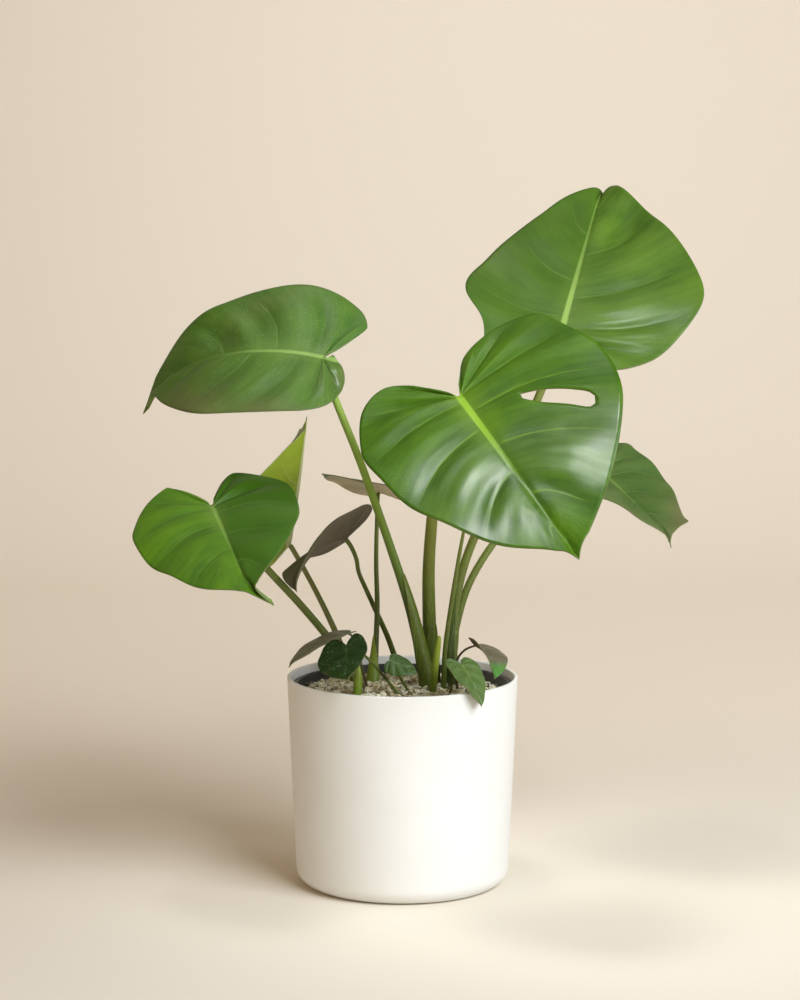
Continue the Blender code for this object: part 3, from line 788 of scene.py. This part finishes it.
def veinMasks(finish, shape, look):
    spot, place, out = finish.map("veins")
    flat, share, across = finish.map("metres")
    side = out * 2 - 1
    reach = side.size()
    fromRib = (across - 0.5).size() * shape["length"]
    ribHalf = look["ribWidth"] * (1.05 - 0.9 * share).math("MAXIMUM", 0.12)
    rib = 1 - (fromRib / ribHalf).step(0.55, 1.15)
    left = side.math("GREATER_THAN", 0.0)
    phase = place * shape["veins"] + (1 - left) * 0.45
    away = 0.5 - (phase.part() - 0.5).size()  # 0 on a side vein, 0.5 between two
    width = 0.02 * (1.25 - reach)
    vein = 1 - (away / width).step(0.4, 1.6)
    vein = vein * reach.step(0.02, 0.1) * (1 - reach.step(0.72, 0.97))
    drawn = finish.node("ShaderNodeMapping", None, {"Vector": spot, "Scale": (75, 5, 1)})
    streaks = finish.noise(drawn, 1, 3)
    return flat, share, side, rib, vein, away, streaks


def bladeTop(name, shape, look):
    finish = Finish(name + "Top", specular=look["specular"], coatRoughness=look["coatRoughness"])
    flat, share, side, rib, vein, away, streaks = veinMasks(finish, shape, look)
    reach = side.size()
    skin = finish.place()
    cloud = finish.noise(skin, 22, 4, 0.6)
    fine = finish.noise(skin, 160, 3, 0.6)
    between = away.step(0.05, 0.45)
    tone = cloud.step(0.3, 0.7) * 0.45 + between * 0.25 + streaks.step(0.3, 0.7) * 0.3
    colour = finish.mix(tone, look["deep"], look["mid"])
    # painted shade: the blade's left half is mixed towards the deep green, standing in for the shade on the
    # half turned from the light
    if look["dusk"]:
        colour = finish.mix(side.step(-0.02, 0.06) * look["dusk"], colour, look["deep"])
    if look["brown"]:
        tan = finish.noise(skin, 9, 3, 0.5).step(0.42, 0.68) * (0.25 + reach.step(0.55, 1.0) * 0.75)
        colour = finish.mix(tan * look["brown"], colour, look["tan"])
    if look["tip"]:
        colour = finish.mix(share.step(0.55, 0.8), colour, look["tip"])
    colour = finish.mix(vein * look["veinShow"] * 0.55, colour, look["vein"])
    glow = (1 - (reach / 0.22).step(0.0, 1.0)) * (1 - share.step(0.0, 0.6)) * look["glow"]
    colour = finish.mix(glow, colour, shade(look["vein"], 0.6))
    ribTint = rib * (1 - share.step(0.1, 0.6) * look["ribFade"]) * look["ribShow"]
    colour = finish.mix(ribTint, colour, look["vein"])
    if look["specks"]:
        dots = 1 - finish.cells(skin, 620).step(0.1, 0.24)
        dots = dots * finish.noise(skin, 90, 2).step(0.45, 0.55)
        colour = finish.mix(dots * look["specks"], colour, look["speck"])
    finish.set(baseColor=colour)
    finish.set(roughness=look["roughness"] + 0.14 * cloud - 0.05 + 0.08 * fine)
    net = finish.cells(skin, 330, "DISTANCE_TO_EDGE").step(0.0, 0.25)
    height = between * 0.5 + streaks * 0.22 + net * 0.05 + fine * 0.1 + cloud * 0.3 - vein * 0.25
    finish.set(normal=finish.bump(height, 0.6, 0.0014))
    wax = look["coat"]
    for (along, across), far, more in look["shine"]:
        inputs = {0: flat, 1: (along, across, 0)}
        gap = finish.node("ShaderNodeVectorMath", {"operation": "DISTANCE"}, inputs, 1)
        wax = wax + (1 - (gap / far).step(0.35, 1.0)) * (0.55 + 0.9 * streaks) * more
    finish.set(coatWeight=wax)
    return finish


def bladeUnder(name, shape, look):
    finish = Finish(name + "Under", specular=0.35)
    _, share, _, rib, vein, _, _ = veinMasks(finish, shape, look)
    cloud = finish.noise(finish.place(), 30, 4, 0.6)
    colour = finish.mix(cloud.step(0.3, 0.7), shade(look["under"], 0.7), look["under"])
    if look["tip"]:
        colour = finish.mix(share.step(0.55, 0.8), colour, look["tip"])
    much = look["ribPale"]
    pale = tuple(much * part + (1 - much) * other for part, other in zip(look["vein"], look["under"]))
    colour = finish.mix(vein * look["veinShow"], colour, pale)
    colour = finish.mix(rib * 0.9, colour, pale)
    finish.set(baseColor=colour, roughness=0.5 + 0.2 * cloud)
    finish.set(normal=finish.bump(vein * 0.5 + rib + cloud * 0.15, 0.6, 0.0012))
    return finish


def bladeEdge(name, look):
    finish = Finish(name + "Edge", roughness=0.5)
    cloud = finish.noise(finish.place(), 70, 3)
    finish.set(baseColor=finish.mix(cloud, look["edge"], shade(look["edge"], 0.6)))
    return finish


def makeLeaves():
    for name, leaf in leaves.items():
        blade = makeBlade(name, leaf)
    print("leaves made")


makeLeaves()


# petioles: round stalks that swell towards the foot, some with a sheath that clasps them
stalkTones = {
    "olive": {"top": (0.175, 0.21, 0.038), "foot": (0.085, 0.115, 0.01), "stripe": (0.25, 0.28, 0.08)},
    "dark": {"top": (0.24, 0.37, 0.05), "foot": (0.036, 0.06, 0.004), "stripe": (0.16, 0.22, 0.04)},
    "yellow": {"top": (0.21, 0.235, 0.028), "foot": (0.08, 0.115, 0.008), "stripe": (0.28, 0.31, 0.07)},
    "pale": {"top": (0.27, 0.265, 0.09), "foot": (0.15, 0.165, 0.035), "stripe": (0.33, 0.33, 0.13)},
    "bronze": {"top": (0.15, 0.12, 0.06), "foot": (0.09, 0.075, 0.03), "stripe": (0.2, 0.17, 0.09)},
    "lime": {"top": (0.3, 0.38, 0.04), "foot": (0.13, 0.21, 0.01), "stripe": (0.36, 0.42, 0.1),
             "climb": (0.16, 0.205)},
}
stalkForm = {"brown": (0.13, 0.085, 0.03), "climb": (0.2, 0.33), "steps": 7, "roundness": 5}
# in millimetres, from each blade or tip down into the mix
petioles = {
    "petioleUpperLeft": {"tone": "dark", "radii": (3, 3.2, 4, 5), "route": [
        (-64.5, 1, 434), (-57, 4, 406), (-34, 1, 348), (-11, -4, 283), (6, -8, 230), (18, -11, 176),
        (20.5, -11.6, 156)]},
    "petioleFront": {"tone": "yellow", "radii": (3.8, 4.4, 5.6, 6.6), "route": [
        (45.5, -69, 406.5), (44, -62, 396), (29, -32, 346), (22, -8, 275), (22, 2, 220), (24, 6, 176),
        (24.7, 6.8, 156)]},
    "petioleUpperRight": {"radii": (3.6, 3.4, 3.8, 4.4), "route": [
        (130, 30.5, 450), (127, 32, 440), (112, 27, 400), (80, 18, 330), (52, 9, 267), (40, 2, 210),
        (38, 0, 176), (37.5, -1, 156)]},
    "petioleRight": {"radii": (2.4, 2.8, 3.2, 3.5), "route": [
        (166, 60.5, 335.5), (160, 64, 329), (130, 56, 314), (90, 42, 293), (58, 28, 250), (44, 19, 208),
        (41, 15, 176), (39.7, 13.5, 156)]},
    "petioleLowerLeft": {"radii": (2.8, 3, 3.2, 3.4), "route": [
        (-152.5, -34.5, 316.2), (-149, -30, 310), (-111, -10, 263), (-83, 2, 230), (-58, 8, 198),
        (-44, 10, 174), (-34, 11.5, 156)]},
    "petioleUnfurling": {"tone": "pale", "radii": (2.2, 2.2, 2.6, 3), "route": [
        (-94.5, 58, 272.5), (-91, 58, 267), (-74, 52, 237), (-58, 41, 206), (-44, 30, 174), (-36, 24, 156)]},
    "petioleBackUpper": {"radii": (1.6, 1.9, 2.4, 3), "route": [
        (-20.2, 74.8, 315.5), (-21, 69, 308), (-22, 45, 263), (-21, 28, 228), (-22, 15, 194),
        (-23, 10, 172), (-23.7, 6.5, 156)]},
    "petioleBackLower": {"radii": (2, 1.8, 2.2, 2.8), "route": [
        (-46.8, 30, 281.5), (-42.5, 30.5, 275), (-38.4, 31, 265), (-36.2, 32, 253), (-30, 35, 238),
        (-21.8, 39, 219), (-12, 44, 196), (-4, 46, 172), (1, 46.5, 156)]},
    "petioleRimHeart": {"radii": (0.9, 1, 1.2, 1.4), "route": [
        (-45, -59.5, 207.5), (-43, -55, 206), (-36, -47, 202), (-24, -42, 190), (-11, -40, 174),
        (3, -38.5, 156)]},
    "petioleRimLong": {"tone": "bronze", "radii": (0.8, 0.9, 1.1, 1.3), "route": [
        (-44, -20, 210.5), (-41, -19, 208), (-36, -17, 194), (-31, -17, 174), (-26.5, -17, 156)]},
    "petioleRimMiddle": {"radii": (0.8, 0.9, 1.1, 1.3), "route": [
        (-10, -44.5, 192.5), (-11, -43, 190), (-6, -36, 184), (1, -34, 172), (10, -31.5, 156)]},
    "petioleRimFront": {"radii": (0.9, 1, 1.1, 1.3), "route": [
        (46.8, -61.5, 192.5), (45, -59, 190), (42, -48, 188), (40, -36, 172), (38, -24, 157)]},
    "petioleRimRight": {"tone": "bronze", "radii": (0.8, 0.9, 1.1, 1.3), "route": [
        (58.7, -24.9, 201.3), (56, -24.6, 200.5), (50.5, -23.5, 197.5), (45.5, -20.5, 191),
        (44, -17.5, 184), (44.5, -13.5, 174), (45.3, -6.5, 156)]},
    "spearLeft": {"tone": "lime", "radii": (0.3, 2.4, 3.6, 3.4), "route": [
        (-35.2, -36.4, 188), (-35.5, -37, 182), (-36, -38, 172), (-36.8, -39.6, 156)]},
    "spearCrown": {"tone": "lime", "radii": (0.4, 2.4, 3, 2.8), "route": [
        (30, -34.2, 211.5), (29.6, -34, 208), (27.2, -31, 190), (25.5, -29, 174), (24, -26.8, 156)]},
    "spearTall": {"radii": (0.4, 1.8, 2, 2.6), "route": [
        (59, 2, 332), (50, -3, 292), (41, -10, 240), (35, -16, 198), (34, -17, 176), (33.2, -17.8, 156)]},
}
# sheathFront clasps petioleFront: how far up it reaches, the way its wings face, how far it stands off below
sheaths = {
    "sheathUpperLeft": {"tone": "yellow", "reach": 0.4, "faces": (1.0, -0.5), "off": 0.0046},
    "sheathFront": {"tone": "yellow", "reach": 0.3, "faces": (0.6, -0.8), "off": 0.0012},
    "sheathUpperRight": {"tone": "dark", "reach": 0.36, "faces": (-0.7, -0.7), "off": 0.0018},
    "sheathBackUpper": {"tone": "lime", "reach": 0.36, "faces": (-0.9, -0.4), "off": 0.0052},
    "sheathRight": {"tone": "olive", "reach": 0.26, "faces": (0.5, -0.8), "off": 0.0014},
}
sheathForm = {
    "along": 30,
    "around": 18,
    "foot": 0.98,  # where it starts, as a share of the stalk's route
    "halfTurn": 118,
    "gap": 0.0004,
    "flare": 0.0012,
    "thickness": 0.0004,
}


def stalkSkin(tone):
    look = stalkTones[tone]
    finish = Finish(tone + "Stalk", specular=0.35, coatWeight=0.05)
    spot = finish.node("ShaderNodeTexCoord", output="Object")
    height = finish.node("ShaderNodeSeparateXYZ", None, {0: spot}, output=2)
    climb = height.step(*look.get("climb", stalkForm["climb"]))
    cloud = finish.noise(finish.place(), 45, 4, 0.6)
    streaks = finish.noise(finish.place((900, 900, 22)), 1, 3, 0.6)
    colour = finish.mix(climb, look["foot"], look["top"])
    colour = finish.mix(streaks.step(0.5, 0.75) * 0.5, colour, look["stripe"])
    colour = finish.mix(cloud.step(0.5, 0.75) * 0.45, colour, stalkForm["brown"])
    finish.set(baseColor=colour, roughness=0.38 + 0.2 * cloud)
    finish.set(normal=finish.bump(streaks, 0.35, 0.0005))
    return finish


def stalkLine(stalk):  # its route and its radii, in metres
    return np.array(stalk["route"]) / 1000, np.array(stalk["radii"])[:, None] / 1000


def makeStalk(name, stalk, skin):
    route, radii = stalkLine(stalk)
    deselect()
    bpy.ops.curve.primitive_bezier_curve_add()
    stem = bpy.context.object
    stem.name = name
    curve = stem.data
    curve.splines.clear()
    count = stalkForm["steps"] * (len(route) - 1)
    line = curve.splines.new("POLY")
    line.points.add(count)
    places = np.linspace(0, 1, count + 1)
    spots = smoothLine(route, places)
    widths = smoothLine(radii, places)[:, 0]
    for point, spot, width in zip(line.points, spots, widths):
        point.co = (*spot, 1)
        point.radius = width
    curve.dimensions = "3D"
    curve.bevel_depth = 1.0
    curve.bevel_resolution = stalkForm["roundness"]
    curve.use_fill_caps = True
    bpy.ops.object.convert(target="MESH")
    stem = bpy.context.object
    done(stem)
    give(stem, skin)
    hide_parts(nodeOf(name))
    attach(stem, "root")
    return stem


def makeSheath(name, sheath, skin):
    route, radii = stalkLine(petioles[name.replace("sheath", "petiole")])
    deselect()
    form = sheathForm
    bpy.ops.mesh.primitive_grid_add(x_subdivisions=form["along"], y_subdivisions=form["around"], size=2)
    wrap = bpy.context.object
    wrap.name = name
    facing = Vector((*sheath["faces"], 0)).normalized()
    for vert in wrap.data.vertices:
        climb, around = (vert.co.x + 1) / 2, vert.co.y
        place = form["foot"] - climb * sheath["reach"]
        spot = Vector(smoothLine(route, place))
        ahead = Vector(smoothLine(route, place - 0.01)) - spot
        radius = float(smoothLine(radii, place)[0])
        ahead.normalize()
        out = (facing - ahead * facing.dot(ahead)).normalized()
        beside = ahead.cross(out)
        close = 1 - climb**3
        spread = math.radians(form["halfTurn"]) * (0.25 + 0.75 * close)
        angle = around * spread
        off = form["gap"] + sheath["off"] * (1 - climb) ** 0.8 * (0.55 + 0.45 * math.cos(angle))
        flare = form["flare"] * abs(around) ** 6 * close
        vert.co = spot + (out * math.cos(angle) + beside * math.sin(angle)) * (radius + off + flare)
    apply(wrap, "SOLIDIFY", thickness=form["thickness"], offset=1.0)
    done(wrap)
    give(wrap, skin)
    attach(wrap, "root")


def makeStalks():
    skins = {tone: stalkSkin(tone) for tone in stalkTones}
    for name, stalk in petioles.items():
        stem = makeStalk(name, stalk, skins[stalk.get("tone", "olive")])
    for name, sheath in sheaths.items():
        makeSheath(name, sheath, skins[sheath["tone"]])
    print("stalks made")


makeStalks()


# floor and backdrop in one sweep, soft lights and the camera
studio = {
    "floor": (0.785, 0.725, 0.625),
    "back": (0.94, 0.845, 0.7),
    "sweep": {"side": 8, "forward": 1.0, "height": 4, "round": 1.4, "steps": 24, "blend": (-0.4, 1.0)},
    "lights": {  # spread in degrees, power in watts
        "keyLight": {"at": (1.45, -1.75, 1.75), "aim": (0, 0, 0.28), "size": 1.9, "power": 104,
                     "colour": (0.87, 0.935, 1.0)},
        "leftLight": {"at": (-1.9, -1.3, 1.0), "aim": (0, 0, 0.2), "size": 1.4, "power": 7.5,
                      "colour": (1.0, 0.82, 0.56)},
        "sheenLight": {"at": (-0.1, -0.085, 1.3), "aim": (0.05, -0.07, 0.4), "size": 0.42, "spread": 26,
                       "power": 0.25, "colour": (0.98, 1.0, 1.0)},
        "backLight": {"at": (0.3, 1.3, 2.4), "aim": (0.1, 3.0, 0.0), "size": 1.6, "spread": 128,
                      "power": 10.5, "colour": (0.8, 0.9, 1.0)},
    },
    "world": ((1.0, 0.68, 0.42), 0.2),
    "camera": {"at": (0.0, -2.2, 0.58), "aim": (-0.002, 0.0, 0.318), "lens": 97.5},
}


def makeStage():
    deselect()
    form = studio["sweep"]
    bpy.ops.mesh.primitive_plane_add(size=form["side"], location=(0, -form["forward"], 0))
    sweep = bpy.context.object
    sweep.name = "paperSweep"
    back = form["side"] / 2 - 0.1
    pick(sweep, "EDGE", lambda edge: all(vert.co.y > back for vert in edge.verts))
    bpy.ops.mesh.extrude_region_move(TRANSFORM_OT_translate={"value": (0, 0, form["height"])})
    pick(sweep, "EDGE", lambda edge: all(abs(vert.co.z) < 0.01 and vert.co.y > back for vert in edge.verts))
    bpy.ops.mesh.bevel(offset=form["round"], segments=form["steps"], affect="EDGES")
    done(sweep)
    paper = Finish("paper", roughness=0.9, specular=0.1)
    depth = paper.node("ShaderNodeSeparateXYZ", None, {0: paper.place()}, output=1)
    paper.set(baseColor=paper.mix(depth.step(*form["blend"]), studio["floor"], studio["back"]))
    give(sweep, paper)


def softLight(name, light):
    deselect()
    bpy.ops.object.light_add(type="AREA", location=light["at"])
    lamp = bpy.context.object
    lamp.name = name
    lamp.data.shape = "SQUARE"
    lamp.data.size = light["size"]
    lamp.data.energy = light["power"]
    lamp.data.color = light["colour"]
    lamp.data.spread = math.radians(light.get("spread", 180))
    lamp.rotation_euler = (Vector(light["aim"]) - Vector(light["at"])).to_track_quat("-Z", "Y").to_euler()


def makeCamera():
    view = studio["camera"]
    camera = bpy.data.objects.new("camera", bpy.data.cameras.new("camera"))
    bpy.context.scene.collection.objects.link(camera)
    camera.data.lens = view["lens"]
    camera.location = view["at"]
    camera.rotation_euler = (Vector(view["aim"]) - Vector(view["at"])).to_track_quat("-Z", "Y").to_euler()
    bpy.context.scene.camera = camera


def makeLight():
    for name, light in studio["lights"].items():
        softLight(name, light)
    colour, strength = studio["world"]
    world = bpy.data.worlds.new("studioWorld")
    world.use_nodes = True
    world.node_tree.nodes["Background"].inputs["Color"].default_value = (*colour, 1)
    world.node_tree.nodes["Background"].inputs["Strength"].default_value = strength
    bpy.context.scene.world = world
    bpy.context.scene.view_settings.view_transform = "Standard"


makeStage()
makeLight()
makeCamera()
deselect()
print("studio made")
